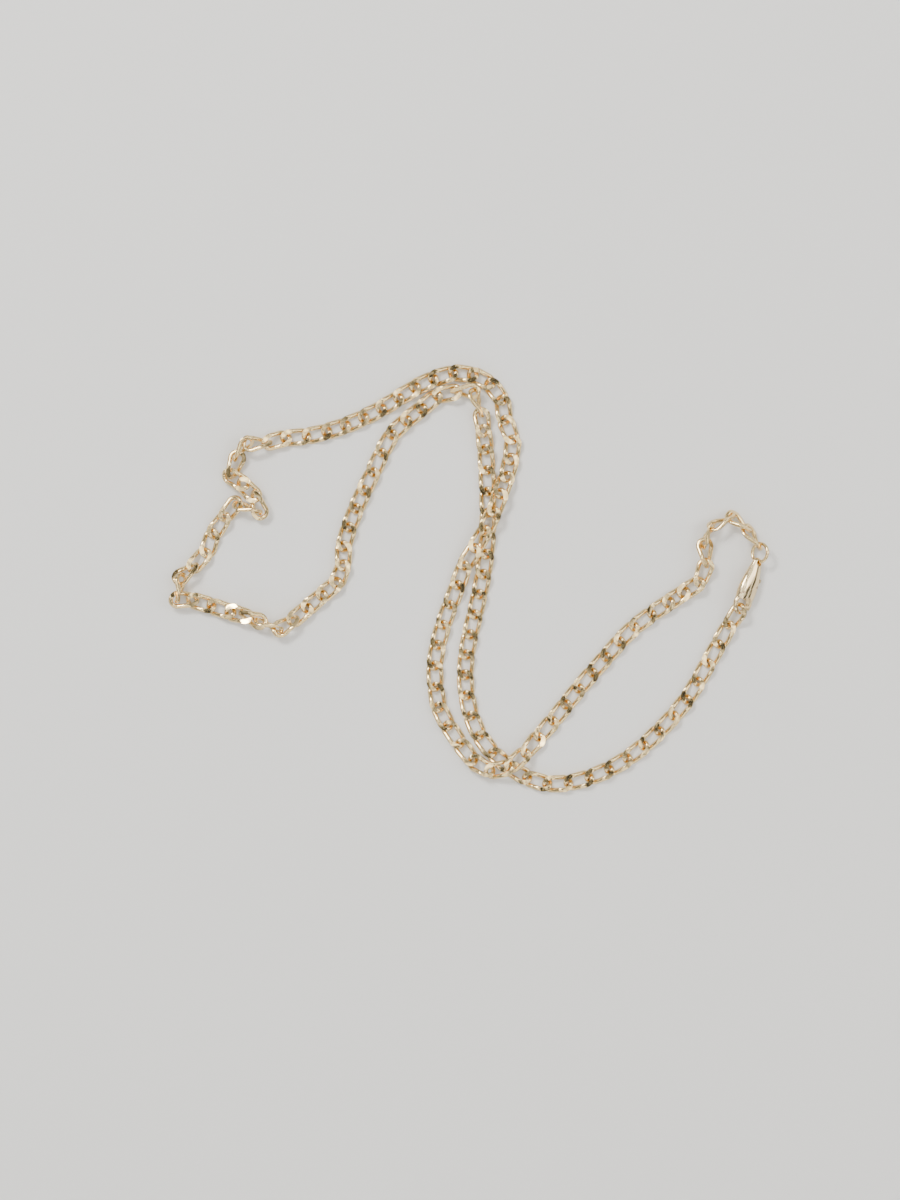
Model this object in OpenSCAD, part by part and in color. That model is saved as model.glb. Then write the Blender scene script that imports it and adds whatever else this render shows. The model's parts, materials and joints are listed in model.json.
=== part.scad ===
// Curb chain necklace laid in loose folds, fastened by a lobster clasp and a jump ring.
// Millimetres, +Z up. The origin is under the middle of the folded chain, on the plane it rests on.

/* [Chain link] */
// Diameter of the link wire
wire_d = 1.07; // [1.04:0.01:1.07]
// Clear length of the hole in a link
link_in = 5.3; // [5.28:0.01:5.32]
// Overall width of a link
link_w = 4.1; // [4.08:0.01:4.12]
// Thickness left after both faces of a link are ground flat
link_t = 1.5; // [1.46:0.01:1.5]

/* [Clasp] */
// Length from the middle of the hook to the end of the tail
clasp_tail = 11.4; // [11.3:0.05:11.5]
// Greatest width of the clasp body
clasp_w = 5.5; // [5.4:0.05:5.6]
// Thickness of the lever blade
lever_t = 1.2; // [1.1:0.05:1.25]
// Diameter of the hole in the tail
tail_hole_d = 1.52; // [1.5:0.01:1.54]

/* [Jump ring] */
// Diameter of the jump ring wire
jump_wire_d = 0.8; // [0.76:0.01:0.8]
// Diameter of the middle line of the jump ring
jump_d = 4.4; // [4.36:0.01:4.42]

/* [Hidden] */
$fn = 48;

// Link: four end quarters and two sides run from one tube, bent out of its plane by end_tilt.
end_tilt = -42;
collar_d = wire_d + 0.03;
seat = 0.05;
half_len = (link_in + wire_d) / 2;
half_wid = (link_w - wire_d) / 2;
side_lean = atan((half_wid / half_len) * tan(end_tilt));
side_x = half_len - half_wid * cos(side_lean) / cos(end_tilt);
side_dir = [-cos(side_lean), 0, -sin(side_lean)];
end_dir = [0, cos(end_tilt), sin(end_tilt)];
end_point = [half_len, 0, 0];
turn_angle = acos(-sin(end_tilt) * sin(side_lean));
turn_r = half_wid / cos(end_tilt) / tan(turn_angle / 2);
turn_normal = unit(cross(end_dir, side_dir));
turn_in = cross(turn_normal, end_dir);
turn_centre = end_point + turn_r * turn_in;
side_len = 2 * side_x / cos(side_lean) + 2 * seat;

// Height of the middle of a link that lies flat.
rest_z = 0.75;

// Route of the chain: [joint between links, x, y, z, roll of the link that follows].
ROUTE = [
    [1, 64, -6.5, 3, 0], [2, 61.5, -10.5, 1.1, 7.5], [4, 56.5, -19.5, rest_z, 0],
    [6, 51.5, -28, rest_z, 0], [8, 45, -35.5, rest_z, 0], [10, 37.5, -42, rest_z, 0],
    [12, 28.5, -46.5, rest_z, 0], [14, 18.5, -48, rest_z, 0], [16, 9.5, -44, rest_z, 0],
    [18, 2.5, -36.5, rest_z, 0], [20, -0.5, -27, rest_z, 0], [22, -0.5, -17.5, rest_z, 0],
    [24, 1.5, -8, rest_z, 0], [26, 3.5, 1.5, rest_z, 0], [28, 4.5, 11, rest_z, 0],
    [30, 4.5, 21, 0.8, 0], [32, 4, 31, 1, -5], [33, 3.5, 35.5, 1.25, 10], [34, 3, 39, 2, 70],
    [35, 1, 44.5, 3, 130], [36, -2.5, 44.5, 2, 175], [37, -7.5, 43.5, 1, 0], [38, -11, 40.5, 1, 0],
    [40, -18, 34.5, 0.8, 0], [42, -22.5, 25.5, rest_z, 0], [44, -26.5, 17, 0.8, 0],
    [46, -29.5, 8, 1, -5], [47, -29.5, 3.5, 1, 5], [48, -31, -0.5, 1, 5], [49, -34.5, -3.5, 1, 5],
    [50, -38, -6.5, 1, 0], [51, -41.5, -9.5, 1.75, 25], [52, -44.5, -11.5, 2.5, 90],
    [53, -49.5, -9.5, 2.5, 145], [54, -52, -8.5, 2, 10], [55, -56, -7.5, 1.25, 5],
    [56, -60.5, -6, 1, 0], [57, -65.5, -4.5, 1.5, 15], [58, -68.5, -4.5, 2.5, 80],
    [59, -67.5, 1, 2, 145], [60, -65.5, 2.5, 2, 5], [61, -61.5, 7, rest_z, 0],
    [62, -60.5, 10.5, rest_z, -5], [63, -57, 15.5, 1.25, 10], [64, -55, 18, 2, 105],
    [65, -49, 16, 2.25, 150], [66, -50, 19.5, 2.75, 175], [67, -53.5, 23, 1.75, 180],
    [68, -56, 24.5, 1.5, 210], [69, -54, 30, 2.25, 250], [70, -52.5, 32, 3, 320],
    [71, -47, 32.5, 1.75, 5], [72, -43.5, 33.5, 1, 5], [73, -38, 34, rest_z, 0],
    [75, -29, 36.5, rest_z, 0], [77, -20.5, 40.5, 0.8, 0], [78, -16.5, 43, 1, 0],
    [79, -12.5, 45.5, 1, 0], [80, -8.5, 47.5, 1, 0], [81, -3.5, 49, 1, 0], [82, 1, 48.5, 1, 0],
    [83, 5, 46.5, 1, 0], [84, 8, 42.5, 0.8, 0], [85, 8.5, 38, 0.8, -5], [86, 10.5, 33, 1, -5],
    [87, 10, 28.5, 1, -5], [88, 9, 24.5, 1.25, 0], [89, 7.5, 20.5, 2.5, -5], [90, 6, 16, 2.75, 0],
    [91, 4, 12, 2.5, 5], [92, 1.5, 7.5, 2.5, 0], [93, -1, 3.5, 1.5, 5], [94, -2.5, -1, 1, 0],
    [96, -6, -10.5, 0.8, 0], [98, -8, -20, 0.8, 0], [100, -7, -30, 1, 0], [101, -5, -34, 1, -5],
    [102, -2, -38.5, 1, -10], [103, 1, -42.5, 1.25, -15], [104, 5, -45, 2, 0],
    [105, 9.5, -44, 2.5, 0], [106, 13.5, -40.5, 2, 10], [107, 16.5, -37, 1, 5],
    [108, 20, -33, rest_z, 0], [110, 26, -25.5, rest_z, 0], [112, 32.5, -18, rest_z, 0],
    [114, 39, -11, 0.8, 0], [116, 47.5, -5, 1, -5], [117, 50.5, -3, 1, -5],
    [118, 54.5, -0.5, 1.5, 10], [119, 56, 4, 2, 35], [120, 55.5, 9, 2, 90], [121, 57, 12.5, 3, 110],
    [122, 62, 15, 2.05, 120], [123, 65.2, 12.4, 2.15, 118], [124, 68.5, 7.8, 2.1, 118]
];

// Clasp: the hook is a ring about the clasp's own origin, its tail runs along -X.
clasp_at = [64.4, -5.35, 2.4];
clasp_heading = -110;
clasp_roll = -41;
hook_r = 2.2;
hook_d = 1.25;
hook_open = [-150, 57];
eye_r = 1.55;
tail_w = 2.3;
widest_x = -2.9;
nose_r = 5.2;
body_end = -0.9;
flatness = 0.62;
shoulder = 0.83;
shoulder_turn = 40;
body_steps = 14;
slot_t = lever_t + 0.16;
pin_at = [-4.6, 1.5];
pin_d = 0.7;
pin_len = 2.9;
pin_play = 0.06;
hub_r = 0.85;
knob_at = [-6.2, 2.35];
knob_r = 0.55;
blade_in = 1.65;
blade_out = 2.65;
blade_ends = [62, 140];
blade_tip = blade_out * [cos(blade_ends[0]), sin(blade_ends[0])];
swing_gap = 0.08;
swing_r = norm(blade_tip - pin_at) + swing_gap;
hook_thin_y = 0.5;
tail_hole_x = 1.2 - clasp_tail;

// Jump ring
jump_at = [68.5, 6.5, 2.6];
jump_turn = [137.5, -7.5];

gold = [0.93, 0.76, 0.52];
pale_gold = [0.95, 0.82, 0.62];

function unit(v) = v / norm(v);
function row_of(n, k = 0) = k >= len(ROUTE) - 2 || ROUTE[k + 1][0] > n ? k : row_of(n, k + 1);
function share(n, k) = (n - ROUTE[k][0]) / (ROUTE[k + 1][0] - ROUTE[k][0]);
function between(n, k, column) = ROUTE[k][column] + (ROUTE[k + 1][column] - ROUTE[k][column]) * share(n, k);
function plan(k) = [ROUTE[k][1], ROUTE[k][2]];
function heading(k) =
    let (low = max(k - 1, 0), high = min(k + 1, len(ROUTE) - 1))
    (plan(high) - plan(low)) / (ROUTE[high][0] - ROUTE[low][0]);
function curve(a, b, slope_a, slope_b, t) =
    (2 * t * t * t - 3 * t * t + 1) * a + (t * t * t - 2 * t * t + t) * slope_a
    + (3 * t * t - 2 * t * t * t) * b + (t * t * t - t * t) * slope_b;
function joint_point(n) =
    let (k = row_of(n), span = ROUTE[k + 1][0] - ROUTE[k][0],
         p = curve(plan(k), plan(k + 1), heading(k) * span, heading(k + 1) * span, share(n, k)))
    [p[0], p[1], between(n, k, 3)];
function roll_at(n) = between(n, row_of(n), 4);

// Places its children at a point, with X along one direction and Y in the plane of another.
module frame_at(point, along, across) {
    ux = unit(along);
    uz = unit(cross(ux, across));
    uy = cross(uz, ux);
    multmatrix([
        [ux[0], uy[0], uz[0], point[0]],
        [ux[1], uy[1], uz[1], point[1]],
        [ux[2], uy[2], uz[2], point[2]],
        [0, 0, 0, 1]
    ])
        children();
}

module end_quarter() {
    frame_at(turn_centre, -turn_in, end_dir)
        rotate_extrude(angle = turn_angle - 1)
            translate([turn_r, 0])
                circle(d = wire_d);
}

module link_side() {
    translate([0, half_wid, 0])
        rotate([0, 90 - side_lean, 0])
            cylinder(d = collar_d, h = side_len, center = true);
}

module end_collar() {
    translate(end_point)
        rotate([end_tilt - 90, 0, 0])
            cylinder(d = collar_d, h = 4 * seat, center = true);
}

// One curb link: a twisted oval ring with both faces ground flat.
module link() {
    intersection() {
        for (side = [0, 180])
            rotate([0, 0, side]) {
                end_quarter();
                rotate([180, 0, 0])
                    end_quarter();
                end_collar();
                link_side();
            }
        cube([2 * link_in, 2 * link_w, link_t], center = true);
    }
}

// Links first to last, each set between its two joints.
module links(first, last) {
    color(gold)
        for (n = [first : last]) {
            start = joint_point(n);
            along = unit(joint_point(n + 1) - start);
            level = unit(cross([0, 0, 1], along));
            steep = cross(along, level);
            across = level * cos(roll_at(n)) + steep * sin(roll_at(n));
            frame_at((start + joint_point(n + 1)) / 2, along, across)
                link();
        }
}

// Half width of the clasp body at a place along it.
function body_w(x) =
    x < widest_x
        ? tail_w / 2 + (clasp_w - tail_w) / 2
            * pow(sin(90 * (x + clasp_tail) / (widest_x + clasp_tail)), 1.3)
        : clasp_w / 2 * sqrt(1 - pow((x - widest_x) / nose_r, 2));
function body_x(k) = -clasp_tail + (body_end + clasp_tail) * k / body_steps;
function body_edge(scale) = [for (k = [0 : body_steps]) [body_x(k), scale * body_w(body_x(k))]];
function back_edge(scale) = [for (k = [body_steps : -1 : 0]) [body_x(k), -scale * body_w(body_x(k))]];

module in_clasp() {
    translate(clasp_at)
        rotate([0, 0, clasp_heading])
            rotate([clasp_roll, 0, 0])
                children();
}

// Two opposite faces of the body, turned about its length and moved in by scale.
module body_faces(turn, scale) {
    rotate([90 + turn, 0, 0])
        linear_extrude(2 * clasp_w, center = true)
            polygon(concat(body_edge(scale), back_edge(scale)));
}

// Teardrop body: a turned form with flatter faces and eased shoulders.
module body_form() {
    intersection() {
        rotate([0, 90, 0])
            rotate([0, 0, 90])
                rotate_extrude()
                    polygon(concat([[0, -clasp_tail]],
                                   [for (k = [0 : body_steps]) [body_w(body_x(k)), body_x(k)]],
                                   [[0, body_end]]));
        body_faces(0, flatness);
        body_faces(shoulder_turn, shoulder);
        body_faces(-shoulder_turn, shoulder);
    }
}

// Open ring, its tip thinned on the inside where the end of the lever swings past.
module hook() {
    difference() {
        rotate([0, 0, hook_open[0]])
            rotate_extrude(angle = hook_open[1] - hook_open[0])
                translate([hook_r, 0])
                    circle(d = hook_d);
        intersection() {
            translate([pin_at[0], pin_at[1], 0])
                cylinder(r = swing_r, h = 2 * hook_d, center = true);
            translate([0, hook_thin_y, -2 * hook_d])
                cube([2 * hook_r, 2 * hook_r, 4 * hook_d]);
        }
    }
}

module lever_slot() {
    linear_extrude(slot_t, center = true)
        polygon([[-7.4, 0.5], [-5.4, 0.5], [-0.6, -0.3], [-0.6, 4], [-7.4, 4]]);
}

module clasp_body() {
    color(pale_gold)
        in_clasp()
            difference() {
                union() {
                    difference() {
                        body_form();
                        cylinder(r = eye_r, h = clasp_w, center = true);
                        lever_slot();
                    }
                    hook();
                }
                translate([tail_hole_x, 0, 0])
                    cylinder(d = tail_hole_d, h = clasp_w, center = true);
                translate([pin_at[0], pin_at[1], 0])
                    cylinder(d = pin_d, h = clasp_w, center = true);
            }
}

// Blade that shuts the hook, with its hub on the pin and a thumb knob behind it.
module clasp_lever() {
    color(pale_gold)
        in_clasp()
            linear_extrude(lever_t, center = true)
                difference() {
                    union() {
                        intersection() {
                            difference() {
                                circle(r = blade_out);
                                circle(r = blade_in);
                            }
                            polygon([
                                [0, 0],
                                4 * [cos(blade_ends[0]), sin(blade_ends[0])],
                                4 * [cos(100), sin(100)],
                                4 * [cos(blade_ends[1]), sin(blade_ends[1])]
                            ]);
                        }
                        polygon([[-4.6, 0.9], [-1.3, 1.02], [-2.0, 1.7], [-4.6, 2.3]]);
                        polygon([[-4.6, 0.7], [-4.1, 2.1], [-6.1, 2.85], [-6.5, 1.9]]);
                        translate(pin_at)
                            circle(r = hub_r);
                        translate(knob_at)
                            circle(r = knob_r);
                    }
                    translate(pin_at)
                        circle(d = pin_d + 2 * pin_play);
                }
}

module clasp_pivot_pin() {
    color(gold)
        in_clasp()
            translate([pin_at[0], pin_at[1], 0])
                cylinder(d = pin_d, h = pin_len, center = true);
}

module jump_ring() {
    color(gold)
        translate(jump_at)
            rotate([0, jump_turn[0], jump_turn[1]])
                rotate_extrude()
                    translate([jump_d / 2, 0])
                        circle(d = jump_wire_d);
}

module clasp_end_link() links(1, 1);
module right_side_links_a() links(2, 3);
module right_side_links_b() links(4, 5);
module right_side_links_c() links(6, 7);
module right_side_links_d() links(8, 9);
module bottom_bend_links_right() links(10, 12);
module bottom_bend_links_middle() links(13, 15);
module bottom_bend_links_left() links(16, 18);
module rising_run_links_a() links(19, 20);
module rising_run_links_b() links(21, 22);
module rising_run_links_c() links(23, 24);
module centre_run_links_lower() links(25, 27);
module centre_run_links_upper() links(28, 30);
module top_bend_links() links(31, 33);
module top_twist_links() links(34, 37);
module left_slope_links_a() links(38, 41);
module left_slope_links_b() links(42, 45);
module left_knee_links() links(46, 49);
module first_twist_links() links(50, 53);
module left_low_run_links() links(54, 56);
module left_end_twist_links() links(57, 60);
module left_return_links() links(61, 63);
module tangle_links_lower() links(64, 67);
module tangle_links_upper() links(68, 71);
module left_upper_links_a() links(72, 74);
module left_upper_links_b() links(75, 78);
module top_outer_links() links(79, 83);
module top_corner_links() links(84, 87);
module upper_crossing_links_a() links(88, 90);
module upper_crossing_links_b() links(91, 93);
module falling_run_links_a() links(94, 95);
module falling_run_links_b() links(96, 97);
module falling_run_links_c() links(98, 100);
module lower_crossing_links_left() links(101, 104);
module lower_crossing_links_right() links(105, 108);
module inner_side_links_a() links(109, 110);
module inner_side_links_b() links(111, 112);
module inner_side_links_c() links(113, 114);
module inner_side_links_d() links(115, 116);
module right_knee_links() links(117, 119);
module jump_ring_end_links() links(120, 123);

clasp_body();
clasp_lever();
clasp_pivot_pin();
jump_ring();
clasp_end_link();
right_side_links_a();
right_side_links_b();
right_side_links_c();
right_side_links_d();
bottom_bend_links_right();
bottom_bend_links_middle();
bottom_bend_links_left();
rising_run_links_a();
rising_run_links_b();
rising_run_links_c();
centre_run_links_lower();
centre_run_links_upper();
top_bend_links();
top_twist_links();
left_slope_links_a();
left_slope_links_b();
left_knee_links();
first_twist_links();
left_low_run_links();
left_end_twist_links();
left_return_links();
tangle_links_lower();
tangle_links_upper();
left_upper_links_a();
left_upper_links_b();
top_outer_links();
top_corner_links();
upper_crossing_links_a();
upper_crossing_links_b();
falling_run_links_a();
falling_run_links_b();
falling_run_links_c();
lower_crossing_links_left();
lower_crossing_links_right();
inner_side_links_a();
inner_side_links_b();
inner_side_links_c();
inner_side_links_d();
right_knee_links();
jump_ring_end_links();
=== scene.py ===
import json
import math

import bmesh
import bpy
import numpy as np
from mathutils import Matrix, Vector


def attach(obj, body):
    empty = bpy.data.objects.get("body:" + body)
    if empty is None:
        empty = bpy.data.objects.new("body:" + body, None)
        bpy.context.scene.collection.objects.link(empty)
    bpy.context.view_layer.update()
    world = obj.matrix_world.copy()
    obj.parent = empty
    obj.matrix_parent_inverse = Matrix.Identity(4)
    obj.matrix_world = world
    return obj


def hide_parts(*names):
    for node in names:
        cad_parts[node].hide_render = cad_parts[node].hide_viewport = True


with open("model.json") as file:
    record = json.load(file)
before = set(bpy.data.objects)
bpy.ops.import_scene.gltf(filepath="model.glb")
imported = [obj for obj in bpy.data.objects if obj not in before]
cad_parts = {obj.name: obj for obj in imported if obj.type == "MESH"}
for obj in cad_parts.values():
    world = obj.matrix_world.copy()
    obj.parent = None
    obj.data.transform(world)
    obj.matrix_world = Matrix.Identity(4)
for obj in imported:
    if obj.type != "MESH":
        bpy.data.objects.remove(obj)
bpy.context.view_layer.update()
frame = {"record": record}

MM = 0.001
BODIES = frame["record"]["behaviour"]["bodies"]
BODY_OF = {node: body for body, nodes in BODIES.items() for node in nodes}

# ---------------------------------------------------------------- sizes, in millimetres
# Link: wire, clear length inside, width over the wires, thickness after grinding, lean of its
# ends, and the height of its middle when it lies flat.
WIRE_D = 1.09
LINK_IN = 5.3
LINK_W = 4.1
LINK_T = 1.5
END_TILT = math.radians(-42)
REST_Z = 0.75

# Clasp: where its eye is and how it is turned, in degrees.
CLASP_AT = (64.4, -5.35, 2.4)
CLASP_HEADING = -110
CLASP_ROLL = -41
# Clasp body, in its own plane: x runs along it from the tail to the hook, with 0 at the eye.
CLASP_TAIL = 11.4
CLASP_W = 5.5
TAIL_W = 2.3
TAIL_TIP = 0.9
WIDEST_X = -2.9
NOSE_R = 5.2
BODY_END = -0.9
FLATNESS = 0.62
EYE_R = 1.55
TAIL_HOLE_X = 1.2 - CLASP_TAIL
TAIL_HOLE_R = 0.76
LEVER_SLOT = [(-7.4, 0.5), (-5.4, 0.5), (-0.6, -0.3), (-0.6, 4), (-7.4, 4)]
SLOT_HALF_T = 0.68
# Hook: radius of its bend, wire, where it starts and ends in degrees, and how much its tip thins.
HOOK_R = 2.2
HOOK_D = 1.25
HOOK_ARC = (-165, 57)
HOOK_STEPS = 70
TIP_THINNING = 0.12
# Lever: its pin, and the radius and angles its end sweeps past the inside of the hook's tip.
PIN_AT = (-4.6, 1.5)
SWING_R = 5.98
SWING_ARC = (-9.7, 20)
SWING_Y = (0.5, 3.5)
# Lever blade: outer and inner edge, its end in degrees, and the points that close it at the hub.
BLADE_OUT_R = 2.62
BLADE_IN_R = 1.68
BLADE_ARC = (62, 140)
BLADE_IN_END = 130
BLADE_ROOT = [(-4.6, 2.25), (-4.6, 0.95), (-1.5, 1.0)]
LEVER_HALF_T = 0.58
HUB_R = 0.82
HUB_HOLE_R = 0.42
THUMB_ARM = [(-4.7, 0.8), (-4.2, 2.1), (-6.1, 2.8), (-6.5, 1.95)]
KNOB_AT = (-6.2, 2.35)
KNOB_R = 0.55
# Pin: the hole it sits in, and its outline as (radius, height).
PIN_HOLE_R = 0.35
PIN_PROFILE = [(0.2, -1.46), (0.3, -1.43), (0.345, -1.34), (0.345, 1.34), (0.3, 1.43), (0.2, 1.46)]
# Half height of the cutters that go right through the clasp.
THROUGH = 3

# Jump ring: centre, turn about its own Y then Z in degrees, middle diameter and wire.
JUMP_AT = (68.5, 6.5, 2.6)
JUMP_TURN = (137.5, -7.5)
JUMP_D = 4.4
JUMP_WIRE_D = 0.8
JUMP_STEPS = 96

# Route of the chain: [joint between links, x, y, z, roll of the link that follows].
ROUTE = [
    [1, 64, -6.5, 3, 0], [2, 61.5, -10.5, 1.1, 7.5], [4, 56.5, -19.5, REST_Z, 0],
    [6, 51.5, -28, REST_Z, 0], [8, 45, -35.5, REST_Z, 0], [10, 37.5, -42, REST_Z, 0],
    [12, 28.5, -46.5, REST_Z, 0], [14, 18.5, -48, REST_Z, 0], [16, 9.5, -44, REST_Z, 0],
    [18, 2.5, -36.5, REST_Z, 0], [20, -0.5, -27, REST_Z, 0], [22, -0.5, -17.5, REST_Z, 0],
    [24, 1.5, -8, REST_Z, 0], [26, 3.5, 1.5, REST_Z, 0], [28, 4.5, 11, REST_Z, 0],
    [30, 4.5, 21, 0.8, 0], [32, 4, 31, 1, -5], [33, 3.5, 35.5, 1.25, 10], [34, 3, 39, 2, 70],
    [35, 1, 44.5, 3, 130], [36, -2.5, 44.5, 2, 175], [37, -7.5, 43.5, 1, 0], [38, -11, 40.5, 1, 0],
    [40, -18, 34.5, 0.8, 0], [42, -22.5, 25.5, REST_Z, 0], [44, -26.5, 17, 0.8, 0],
    [46, -29.5, 8, 1, -5], [47, -29.5, 3.5, 1, 5], [48, -31, -0.5, 1, 5], [49, -34.5, -3.5, 1, 5],
    [50, -38, -6.5, 1, 0], [51, -41.5, -9.5, 1.75, 25], [52, -44.5, -11.5, 2.5, 90],
    [53, -49.5, -9.5, 2.5, 145], [54, -52, -8.5, 2, 10], [55, -56, -7.5, 1.25, 5],
    [56, -60.5, -6, 1, 0], [57, -65.5, -4.5, 1.5, 15], [58, -68.5, -4.5, 2.5, 80],
    [59, -67.5, 1, 2, 145], [60, -65.5, 2.5, 2, 5], [61, -61.5, 7, REST_Z, 0],
    [62, -60.5, 10.5, REST_Z, -5], [63, -57, 15.5, 1.25, 10], [64, -55, 18, 2, 105],
    [65, -49, 16, 2.25, 150], [66, -50, 19.5, 2.75, 175], [67, -53.5, 23, 1.75, 180],
    [68, -56, 24.5, 1.5, 210], [69, -54, 30, 2.25, 250], [70, -52.5, 32, 3, 320],
    [71, -47, 32.5, 1.75, 5], [72, -43.5, 33.5, 1, 5], [73, -38, 34, REST_Z, 0],
    [75, -29, 36.5, REST_Z, 0], [77, -20.5, 40.5, 0.8, 0], [78, -16.5, 43, 1, 0],
    [79, -12.5, 45.5, 1, 0], [80, -8.5, 47.5, 1, 0], [81, -3.5, 49, 1, 0], [82, 1, 48.5, 1, 0],
    [83, 5, 46.5, 1, 0], [84, 8, 42.5, 0.8, 0], [85, 8.5, 38, 0.8, -5], [86, 10.5, 33, 1, -5],
    [87, 10, 28.5, 1, -5], [88, 9, 24.5, 1.25, 0], [89, 7.5, 20.5, 2.5, -5], [90, 6, 16, 2.75, 0],
    [91, 4, 12, 2.5, 5], [92, 1.5, 7.5, 2.5, 0], [93, -1, 3.5, 1.5, 5], [94, -2.5, -1, 1, 0],
    [96, -6, -10.5, 0.8, 0], [98, -8, -20, 0.8, 0], [100, -7, -30, 1, 0], [101, -5, -34, 1, -5],
    [102, -2, -38.5, 1, -10], [103, 1, -42.5, 1.25, -15], [104, 5, -45, 2, 0],
    [105, 9.5, -44, 2.5, 0], [106, 13.5, -40.5, 2, 10], [107, 16.5, -37, 1, 5],
    [108, 20, -33, REST_Z, 0], [110, 26, -25.5, REST_Z, 0], [112, 32.5, -18, REST_Z, 0],
    [114, 39, -11, 0.8, 0], [116, 47.5, -5, 1, -5], [117, 50.5, -3, 1, -5],
    [118, 54.5, -0.5, 1.5, 10], [119, 56, 4, 2, 35], [120, 55.5, 9, 2, 90], [121, 57, 12.5, 3, 110],
    [122, 62, 15, 2.05, 120], [123, 65.2, 12.4, 2.15, 118], [124, 68.5, 7.8, 2.1, 118]
]

# Every stretch of the chain: CAD node, first link, last link.
STRETCHES = [
    ("clasp_end_link", 1, 1),
    ("right_side_links_a", 2, 3),
    ("right_side_links_b", 4, 5),
    ("right_side_links_c", 6, 7),
    ("right_side_links_d", 8, 9),
    ("bottom_bend_links_right", 10, 12),
    ("bottom_bend_links_middle", 13, 15),
    ("bottom_bend_links_left", 16, 18),
    ("rising_run_links_a", 19, 20),
    ("rising_run_links_b", 21, 22),
    ("rising_run_links_c", 23, 24),
    ("centre_run_links_lower", 25, 27),
    ("centre_run_links_upper", 28, 30),
    ("top_bend_links", 31, 33),
    ("top_twist_links", 34, 37),
    ("left_slope_links_a", 38, 41),
    ("left_slope_links_b", 42, 45),
    ("left_knee_links", 46, 49),
    ("first_twist_links", 50, 53),
    ("left_low_run_links", 54, 56),
    ("left_end_twist_links", 57, 60),
    ("left_return_links", 61, 63),
    ("tangle_links_lower", 64, 67),
    ("tangle_links_upper", 68, 71),
    ("left_upper_links_a", 72, 74),
    ("left_upper_links_b", 75, 78),
    ("top_outer_links", 79, 83),
    ("top_corner_links", 84, 87),
    ("upper_crossing_links_a", 88, 90),
    ("upper_crossing_links_b", 91, 93),
    ("falling_run_links_a", 94, 95),
    ("falling_run_links_b", 96, 97),
    ("falling_run_links_c", 98, 100),
    ("lower_crossing_links_left", 101, 104),
    ("lower_crossing_links_right", 105, 108),
    ("inner_side_links_a", 109, 110),
    ("inner_side_links_b", 111, 112),
    ("inner_side_links_c", 113, 114),
    ("inner_side_links_d", 115, 116),
    ("right_knee_links", 117, 119),
    ("jump_ring_end_links", 120, 123),
]


# ---------------------------------------------------------------- route
def row_of(n):
    k = 0
    while k < len(ROUTE) - 2 and ROUTE[k + 1][0] <= n:
        k += 1
    return k


def plan(k):
    return np.array(ROUTE[k][1:3], float)


def heading(k):
    low, high = max(k - 1, 0), min(k + 1, len(ROUTE) - 1)
    return (plan(high) - plan(low)) / (ROUTE[high][0] - ROUTE[low][0])


def between(n, column):
    k = row_of(n)
    t = (n - ROUTE[k][0]) / (ROUTE[k + 1][0] - ROUTE[k][0])
    return ROUTE[k][column] + (ROUTE[k + 1][column] - ROUTE[k][column]) * t


def joint_point(n):
    k = row_of(n)
    span = ROUTE[k + 1][0] - ROUTE[k][0]
    t = (n - ROUTE[k][0]) / span
    p = ((2 * t**3 - 3 * t**2 + 1) * plan(k) + (t**3 - 2 * t**2 + t) * heading(k) * span
         + (3 * t**2 - 2 * t**3) * plan(k + 1) + (t**3 - t**2) * heading(k + 1) * span)
    return np.array([p[0], p[1], between(n, 3)])


def unit(v):
    return v / np.linalg.norm(v)


def link_place(n):
    """Centre of link n and the matrix whose columns are its own axes."""
    start, end = joint_point(n), joint_point(n + 1)
    along = unit(end - start)
    level = unit(np.cross([0, 0, 1], along))
    steep = np.cross(along, level)
    roll = math.radians(between(n, 4))
    across = level * math.cos(roll) + steep * math.sin(roll)
    return (start + end) / 2, np.stack([along, across, np.cross(along, across)], axis=1)


# ---------------------------------------------------------------- one link
def link_line(turn_steps, side_steps):
    """Closed centre line of a link and its tangents."""
    a, b = (LINK_IN + WIRE_D) / 2, (LINK_W - WIRE_D) / 2
    lean = math.atan(b / a * math.tan(END_TILT))
    side_dir = np.array([-math.cos(lean), 0, -math.sin(lean)])
    end_dir = np.array([0, math.cos(END_TILT), math.sin(END_TILT)])
    end_point = np.array([a, 0, 0])
    turn = math.acos(-math.sin(END_TILT) * math.sin(lean))
    r = b / math.cos(END_TILT) / math.tan(turn / 2)
    inward = np.cross(unit(np.cross(end_dir, side_dir)), end_dir)
    centre = end_point + r * inward
    angles = np.linspace(0, turn, turn_steps + 1)
    points = [centre + r * (-inward * math.cos(u) + end_dir * math.sin(u)) for u in angles]
    tangents = [inward * math.sin(u) + end_dir * math.cos(u) for u in angles]
    lower = [(p * (1, -1, -1), t * (-1, 1, 1)) for p, t in zip(points, tangents)][::-1][:-1]
    upper = list(zip(points, tangents))
    far = upper[-1][0] * (-1, 1, -1)
    side = [(upper[-1][0] + (far - upper[-1][0]) * k / side_steps, side_dir)
            for k in range(1, side_steps)]
    half = lower + upper + side
    line = half + [(p * (-1, -1, 1), t * (-1, -1, 1)) for p, t in half]
    return np.array([p for p, _ in line]), np.array([t for _, t in line])


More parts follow.
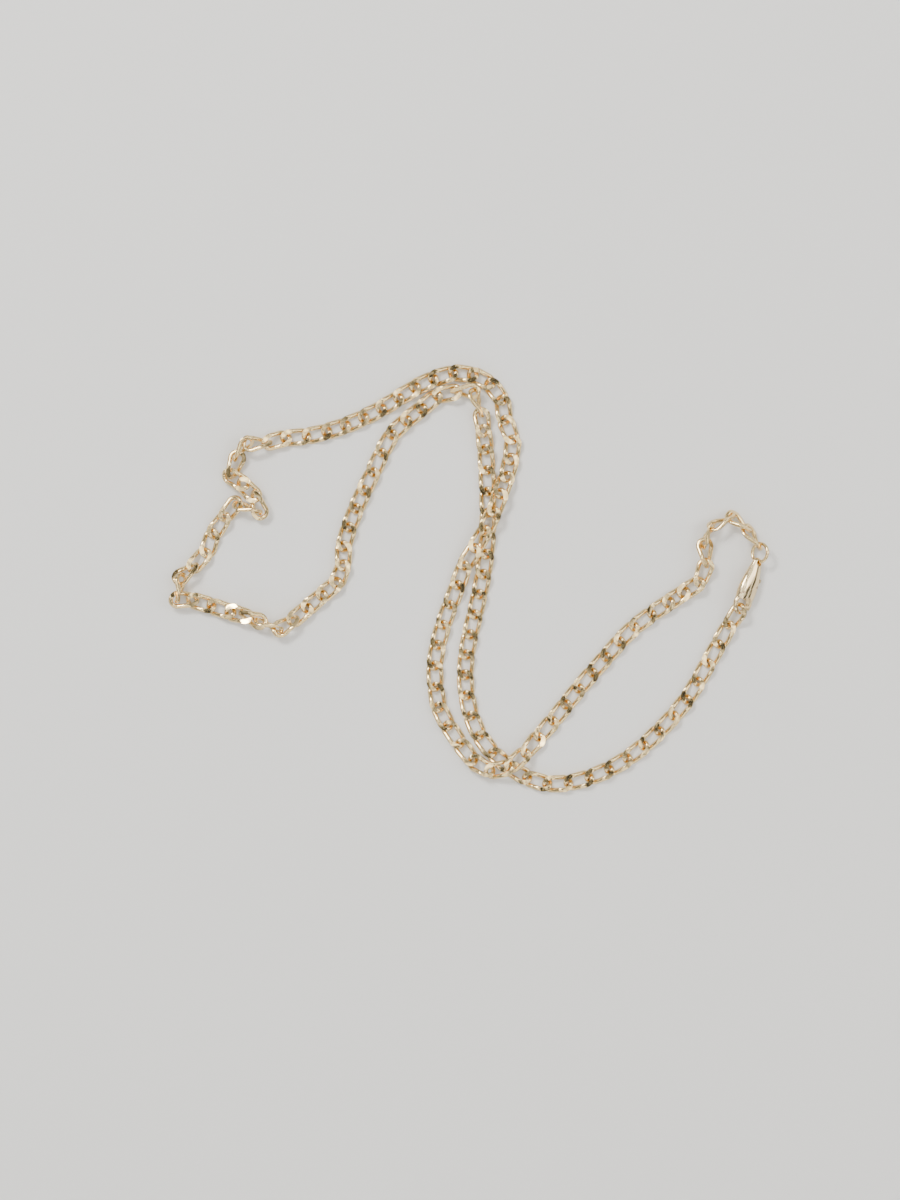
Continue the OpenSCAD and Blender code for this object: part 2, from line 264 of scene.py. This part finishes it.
def link_mesh(turn_steps=14, side_steps=5, around=24):
    """Vertices and faces of one link, both faces ground flat with a crisp edge."""
    line, tangents = link_line(turn_steps, side_steps)
    radius, half_t = WIRE_D / 2, LINK_T / 2
    vertices = []
    for p, t in zip(line, tangents):
        t = unit(t)
        flat = unit(np.cross(t, [0, 0, 1]))
        up = np.cross(flat, t)
        angles = [2 * math.pi * k / around for k in range(around)]
        for side in (1, -1):
            rise = (half_t - side * p[2]) / (radius * up[2])
            if -1 < rise < 1:
                for cut in (math.asin(rise), math.pi - math.asin(rise)):
                    cut = (side * cut) % (2 * math.pi)
                    k = round(cut / (2 * math.pi) * around) % around
                    angles[k] = cut if not (k == 0 and cut > math.pi) else cut - 2 * math.pi
        for u in angles:
            v = p + radius * (flat * math.cos(u) + up * math.sin(u))
            v[2] = min(max(v[2], -half_t), half_t)
            vertices.append(v)
    n = len(line)
    faces = [(i * around + k, i * around + (k + 1) % around,
              (i + 1) % n * around + (k + 1) % around, (i + 1) % n * around + k)
             for i in range(n) for k in range(around)]
    return np.array(vertices), faces


# ---------------------------------------------------------------- materials
def polished(name, tint, seed, rough=0.10, wear=0.06, wave=0.0005):
    """Polished gold alloy: fine scratches, faint finger marks and a slightly uneven colour."""
    mat = bpy.data.materials.new(name)
    mat.use_nodes = True
    nodes, links = mat.node_tree.nodes, mat.node_tree.links
    shader = nodes["Principled BSDF"]
    shader.inputs["Metallic"].default_value = 1.0
    where = nodes.new("ShaderNodeTexCoord")

    def noise(scale, detail, distortion=0.0, offset=0.0):
        shift = nodes.new("ShaderNodeMapping")
        shift.inputs["Location"].default_value = (seed + offset, seed * 1.7, seed * 0.6)
        links.new(where.outputs["Object"], shift.inputs["Vector"])
        tex = nodes.new("ShaderNodeTexNoise")
        tex.inputs["Scale"].default_value = scale
        tex.inputs["Detail"].default_value = detail
        tex.inputs["Distortion"].default_value = distortion
        links.new(shift.outputs["Vector"], tex.inputs["Vector"])
        return tex

    tone = noise(260, 3)
    ramp = nodes.new("ShaderNodeValToRGB")
    dark = [c * 0.9 for c in tint]
    ramp.color_ramp.elements[0].position = 0.3
    ramp.color_ramp.elements[0].color = (*dark, 1)
    ramp.color_ramp.elements[1].position = 0.7
    ramp.color_ramp.elements[1].color = (*tint, 1)
    links.new(tone.outputs["Fac"], ramp.inputs["Fac"])
    links.new(ramp.outputs["Color"], shader.inputs["Base Color"])

    marks = noise(900, 4, offset=3.1)
    spread = nodes.new("ShaderNodeMapRange")
    spread.inputs["From Min"].default_value = 0.35
    spread.inputs["From Max"].default_value = 0.75
    spread.inputs["To Min"].default_value = rough
    spread.inputs["To Max"].default_value = rough + wear
    links.new(marks.outputs["Fac"], spread.inputs["Value"])
    links.new(spread.outputs["Result"], shader.inputs["Roughness"])

    # Hand-ground faces: long shallow waves, with a fine grain over them.
    waves = noise(170, 1, offset=9.3)
    grain = noise(2600, 2, offset=5.7)
    for tex, height in ((waves, wave), (grain, 0.0000012)):
        bump = nodes.new("ShaderNodeBump")
        bump.inputs["Strength"].default_value = 1.0
        bump.inputs["Distance"].default_value = height
        links.new(tex.outputs["Fac"], bump.inputs["Height"])
        if shader.inputs["Normal"].is_linked:
            links.new(shader.inputs["Normal"].links[0].from_socket, bump.inputs["Normal"])
        links.new(bump.outputs["Normal"], shader.inputs["Normal"])
    return mat


CHAIN_GOLD = polished("chain_gold", (0.92, 0.69, 0.35), 1.3)
CLASP_GOLD = polished("clasp_gold", (0.94, 0.74, 0.43), 4.1, wave=0.0004)
RING_GOLD = polished("jump_ring_gold", (0.92, 0.69, 0.35), 7.7, wave=0.0002)
PIN_GOLD = polished("pin_gold", (0.80, 0.65, 0.48), 9.9, rough=0.2, wave=0.0002)


# ---------------------------------------------------------------- pieces
def new_piece(name, vertices, faces, material, crease=32):
    """A mesh object from millimetre coordinates, smooth except across sharp edges."""
    mesh = bpy.data.meshes.new(name)
    mesh.from_pydata((np.asarray(vertices) * MM).tolist(), [], faces)
    mesh.materials.append(material)
    piece = bpy.data.objects.new(name, mesh)
    bpy.context.scene.collection.objects.link(piece)
    smooth(piece, crease)
    return piece


def smooth(piece, crease):
    work = bmesh.new()
    work.from_mesh(piece.data)
    bmesh.ops.recalc_face_normals(work, faces=work.faces)
    limit = math.radians(crease)
    for face in work.faces:
        face.smooth = True
    for edge in work.edges:
        edge.smooth = len(edge.link_faces) != 2 or edge.calc_face_angle(0) < limit
    work.to_mesh(piece.data)
    work.free()


def adopt(piece, node):
    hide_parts(node)
    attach(piece, BODY_OF[node])


LINK_VERTICES, LINK_FACES = link_mesh()
for node, first, last in STRETCHES:
    vertices, faces = [], []
    for n in range(first, last + 1):
        centre, axes = link_place(n)
        start = len(vertices) * len(LINK_VERTICES)
        vertices.append(LINK_VERTICES @ axes.T + centre)
        faces += [tuple(start + v for v in face) for face in LINK_FACES]
    adopt(new_piece(node + "_look", np.concatenate(vertices), faces, CHAIN_GOLD), node)


# ---------------------------------------------------------------- clasp
CLASP = (Matrix.Translation(Vector(CLASP_AT) * MM)
         @ Matrix.Rotation(math.radians(CLASP_HEADING), 4, "Z")
         @ Matrix.Rotation(math.radians(CLASP_ROLL), 4, "X"))


def body_w(x):
    if x < WIDEST_X:
        t = (x + CLASP_TAIL) / (WIDEST_X + CLASP_TAIL)
        w = TAIL_W / 2 + (CLASP_W - TAIL_W) / 2 * math.sin(math.pi / 2 * t) ** 1.3
        tip = (x + CLASP_TAIL) / TAIL_TIP
        return w * math.sqrt(max(1 - (1 - tip) ** 2, 0)) if tip < 1 else w
    return CLASP_W / 2 * math.sqrt(1 - ((x - WIDEST_X) / NOSE_R) ** 2)


def tube(points, radii, around=24, closed=False, flat=1.0):
    """Tube along plane points with its own radius at each, flattened across the plane."""
    points = np.asarray(points, float)
    if closed:
        tangents = np.roll(points, -1, 0) - np.roll(points, 1, 0)
    else:
        tangents = np.gradient(points, axis=0)
    vertices = []
    for p, t, r in zip(points, tangents, radii):
        out = unit(np.cross(t, [0, 0, 1]))
        for k in range(around):
            u = 2 * math.pi * k / around
            vertices.append(p + r * (out * math.cos(u) + np.array([0, 0, flat]) * math.sin(u)))
    n = len(points)
    rings = n if closed else n - 1
    faces = [(i * around + k, i * around + (k + 1) % around,
              (i + 1) % n * around + (k + 1) % around, (i + 1) % n * around + k)
             for i in range(rings) for k in range(around)]
    if not closed:
        faces += [tuple(range(around))[::-1], tuple((n - 1) * around + k for k in range(around))]
    return vertices, faces


def prism(outline, half_height):
    n = len(outline)
    vertices = [(x, y, z) for z in (-half_height, half_height) for x, y in outline]
    faces = [tuple(range(n))[::-1], tuple(range(n, 2 * n))]
    faces += [(k, (k + 1) % n, n + (k + 1) % n, n + k) for k in range(n)]
    return vertices, faces


def round_outline(x, y, r, steps=48):
    return [(x + r * math.cos(2 * math.pi * k / steps), y + r * math.sin(2 * math.pi * k / steps))
            for k in range(steps)]


def cut(piece, vertices, faces, operation="DIFFERENCE"):
    """Applies a boolean with a solid given in the clasp's own millimetres."""
    tool = new_piece("cutter", vertices, faces, CLASP_GOLD)
    step = piece.modifiers.new("cut", "BOOLEAN")
    step.object, step.operation, step.solver = tool, operation, "EXACT"
    settle(piece)
    bpy.data.objects.remove(tool)


def settle(piece):
    """Replaces the piece's mesh with its evaluated one."""
    graph = bpy.context.evaluated_depsgraph_get()
    mesh = bpy.data.meshes.new_from_object(piece.evaluated_get(graph))
    piece.modifiers.clear()
    piece.data = mesh


def soften(piece, voxel, rounds):
    """Turns the sharp solid into a cast one with rounded edges."""
    remesh = piece.modifiers.new("remesh", "REMESH")
    remesh.mode, remesh.voxel_size = "VOXEL", voxel * MM
    melt = piece.modifiers.new("melt", "SMOOTH")
    melt.factor, melt.iterations = 0.5, rounds
    settle(piece)
    for face in piece.data.polygons:
        face.use_smooth = True


def lever_swing():
    """Outline swept by the lever's end, which thins the inside of the hook's tip."""
    arc = np.radians(np.linspace(*SWING_ARC, 24))
    swept = [(PIN_AT[0] + SWING_R * math.cos(u), PIN_AT[1] + SWING_R * math.sin(u)) for u in arc]
    return [(0, SWING_Y[0])] + swept + [(0, SWING_Y[1])]


def shell():
    """Puffed teardrop, cut for the eye, the lever and the hole in the tail."""
    stations = np.linspace(-CLASP_TAIL + 0.02, BODY_END, 60)
    around = 64
    vertices = [(x, body_w(x) * math.cos(u), body_w(x) * FLATNESS * math.sin(u))
                for x in stations for u in np.linspace(0, 2 * math.pi, around, endpoint=False)]
    faces = [(i * around + k, i * around + (k + 1) % around,
              (i + 1) * around + (k + 1) % around, (i + 1) * around + k)
             for i in range(len(stations) - 1) for k in range(around)]
    faces += [tuple(range(around))[::-1],
              tuple((len(stations) - 1) * around + k for k in range(around))]
    piece = new_piece("clasp_shell", vertices, faces, CLASP_GOLD)
    cut(piece, *prism(round_outline(0, 0, EYE_R), THROUGH))
    cut(piece, *prism(LEVER_SLOT, SLOT_HALF_T))
    arc = np.radians(np.linspace(*HOOK_ARC, HOOK_STEPS))
    taper = [HOOK_D / 2 * (1 - TIP_THINNING * k / (HOOK_STEPS - 1)) for k in range(HOOK_STEPS)]
    cut(piece, *tube([(HOOK_R * math.cos(u), HOOK_R * math.sin(u), 0) for u in arc], taper),
        operation="UNION")
    cut(piece, *prism(lever_swing(), 2))
    cut(piece, *prism(round_outline(TAIL_HOLE_X, 0, TAIL_HOLE_R), THROUGH))
    cut(piece, *prism(round_outline(*PIN_AT, PIN_HOLE_R), THROUGH))
    soften(piece, 0.055, 5)
    return piece


def lever():
    """Blade along the mouth of the hook, with its hub and thumb knob."""
    arc = np.radians(np.linspace(*BLADE_ARC, 24))
    outer = [(BLADE_OUT_R * math.cos(u), BLADE_OUT_R * math.sin(u)) for u in arc]
    inner = [(BLADE_IN_R * math.cos(u), BLADE_IN_R * math.sin(u))
             for u in arc[::-1] if u < math.radians(BLADE_IN_END)]
    piece = new_piece("clasp_lever_look", *prism(outer + BLADE_ROOT + inner, LEVER_HALF_T), CLASP_GOLD)
    for outline in (round_outline(*PIN_AT, HUB_R), THUMB_ARM, round_outline(*KNOB_AT, KNOB_R)):
        cut(piece, *prism(outline, LEVER_HALF_T), operation="UNION")
    cut(piece, *prism(round_outline(*PIN_AT, HUB_HOLE_R), 2))
    soften(piece, 0.05, 4)
    return piece


def lathe(profile, around=48):
    """Solid turned about local Z from (radius, z) points, closed at both ends on the axis."""
    vertices = [(0, 0, profile[0][1])]
    for r, z in profile:
        vertices += [(x, y, z) for x, y in round_outline(0, 0, r, around)]
    vertices.append((0, 0, profile[-1][1]))
    top = len(vertices) - 1
    faces = [(0, 1 + (k + 1) % around, 1 + k) for k in range(around)]
    for i in range(len(profile) - 1):
        faces += [(1 + i * around + k, 1 + i * around + (k + 1) % around,
                   1 + (i + 1) * around + (k + 1) % around, 1 + (i + 1) * around + k)
                  for k in range(around)]
    base = 1 + (len(profile) - 1) * around
    faces += [(top, base + k, base + (k + 1) % around) for k in range(around)]
    return vertices, faces


def in_clasp(piece):
    piece.data.transform(CLASP)
    return piece


adopt(in_clasp(shell()), "clasp_body")
adopt(in_clasp(lever()), "clasp_lever")

pin_vertices, pin_faces = lathe(PIN_PROFILE)
pin_vertices = [(x + PIN_AT[0], y + PIN_AT[1], z) for x, y, z in pin_vertices]
pin = in_clasp(new_piece("clasp_pin_look", pin_vertices, pin_faces, PIN_GOLD))
adopt(pin, "clasp_pivot_pin")

# ---------------------------------------------------------------- jump ring
turn = np.linspace(0, 2 * math.pi, JUMP_STEPS, endpoint=False)
ring_points = [(JUMP_D / 2 * math.cos(u), JUMP_D / 2 * math.sin(u), 0) for u in turn]
ring_tube = tube(ring_points, [JUMP_WIRE_D / 2] * JUMP_STEPS, closed=True)
ring = new_piece("jump_ring_look", *ring_tube, RING_GOLD)
ring.data.transform(Matrix.Translation(Vector(JUMP_AT) * MM)
                    @ Matrix.Rotation(math.radians(JUMP_TURN[1]), 4, "Z")
                    @ Matrix.Rotation(math.radians(JUMP_TURN[0]), 4, "Y"))
adopt(ring, "jump_ring")


# ---------------------------------------------------------------- floor, light and camera
def floor():
    mesh = bpy.data.meshes.new("floor")
    size = 1.5
    corners = [(-size, -size, 0), (size, -size, 0), (size, size, 0), (-size, size, 0)]
    mesh.from_pydata(corners, [], [(0, 1, 2, 3)])
    mat = bpy.data.materials.new("floor_paper")
    mat.use_nodes = True
    nodes, links = mat.node_tree.nodes, mat.node_tree.links
    shader = nodes["Principled BSDF"]
    shader.inputs["Roughness"].default_value = 0.75
    tex = nodes.new("ShaderNodeTexNoise")
    tex.inputs["Scale"].default_value = 40
    ramp = nodes.new("ShaderNodeValToRGB")
    ramp.color_ramp.elements[0].color = (0.78, 0.775, 0.76, 1)
    ramp.color_ramp.elements[1].color = (0.81, 0.805, 0.79, 1)
    links.new(tex.outputs["Fac"], ramp.inputs["Fac"])
    links.new(ramp.outputs["Color"], shader.inputs["Base Color"])
    mesh.materials.append(mat)
    piece = bpy.data.objects.new("floor", mesh)
    bpy.context.scene.collection.objects.link(piece)


def softbox(name, at, size, power, colour=(1, 1, 1)):
    lamp = bpy.data.lights.new(name, "AREA")
    lamp.shape = "RECTANGLE"
    lamp.size, lamp.size_y = size
    lamp.energy = power
    lamp.color = colour
    obj = bpy.data.objects.new(name, lamp)
    obj.location = at
    obj.rotation_mode = "QUATERNION"
    obj.rotation_quaternion = (-Vector(at)).to_track_quat("-Z", "Y")
    bpy.context.scene.collection.objects.link(obj)


floor()
softbox("key_light", (-0.35, 0.45, 0.75), (0.3, 0.22), 7.0, (1.0, 0.98, 0.95))
softbox("fill_light", (0.6, 0.1, 0.5), (0.25, 0.6), 1.8, (1.0, 0.96, 0.92))
softbox("rim_light", (0.05, -0.7, 0.4), (0.6, 0.15), 1.2)

world = bpy.data.worlds.new("studio")
bpy.context.scene.world = world
world.use_nodes = True
sky_nodes, sky_links = world.node_tree.nodes, world.node_tree.links
background = sky_nodes["Background"]
sky_where = sky_nodes.new("ShaderNodeTexCoord")
sky_split = sky_nodes.new("ShaderNodeSeparateXYZ")
sky_links.new(sky_where.outputs["Generated"], sky_split.inputs["Vector"])
# Height above the horizon (0 to 1) and grey: a paler wall, a dim band and a bright ceiling.
SKY = ((0.0, 0.30), (0.25, 0.16), (0.42, 0.8), (0.55, 0.12), (0.74, 0.2), (0.84, 0.95), (1.0, 1.0))
# Patchwork of the ceiling: dark gaps, plain ceiling, and lamps.
PATCHES = ((0.42, 0.003), (0.46, 0.07), (0.53, 0.18), (0.60, 1.0))


def grey_ramp(source, stops):
    ramp = sky_nodes.new("ShaderNodeValToRGB")
    while len(ramp.color_ramp.elements) < len(stops):
        ramp.color_ramp.elements.new(0.5)
    for stop, (place, grey) in zip(ramp.color_ramp.elements, stops):
        stop.position = place
        stop.color = (grey, grey, grey * 0.985, 1)
    sky_links.new(source, ramp.inputs["Fac"])
    return ramp.outputs["Color"]


patches = sky_nodes.new("ShaderNodeTexNoise")
patches.inputs["Scale"].default_value = 15
patches.inputs["Detail"].default_value = 1
sky_links.new(sky_where.outputs["Generated"], patches.inputs["Vector"])
# The camera's own dark shape, straight above.
overhead = sky_nodes.new("ShaderNodeMapRange")
overhead.inputs["From Min"].default_value = 0.9950
overhead.inputs["From Max"].default_value = 0.9962
overhead.inputs["To Min"].default_value = 1.0
overhead.inputs["To Max"].default_value = 0.02
sky_links.new(sky_split.outputs["Z"], overhead.inputs["Value"])


def multiply(a, b):
    mix = sky_nodes.new("ShaderNodeMix")
    mix.data_type, mix.blend_type = "RGBA", "MULTIPLY"
    mix.inputs[0].default_value = 1.0
    sky_links.new(a, mix.inputs[6])
    sky_links.new(b, mix.inputs[7])
    return mix.outputs[2]


sky = multiply(grey_ramp(sky_split.outputs["Z"], SKY), grey_ramp(patches.outputs["Fac"], PATCHES))
sky_links.new(multiply(sky, overhead.outputs["Result"]), background.inputs["Color"])
background.inputs["Strength"].default_value = 5.5

camera = bpy.data.objects.new("camera", bpy.data.cameras.new("camera"))
VIEW_CENTRE = (-4.37 * MM, -4.6 * MM)
VIEW_HEIGHT = 283.2 * MM
CAMERA_UP = 0.75
camera.location = (*VIEW_CENTRE, CAMERA_UP)
camera.data.lens = camera.data.sensor_width * CAMERA_UP / VIEW_HEIGHT
camera.data.clip_start = 0.01
bpy.context.scene.collection.objects.link(camera)
bpy.context.scene.camera = camera
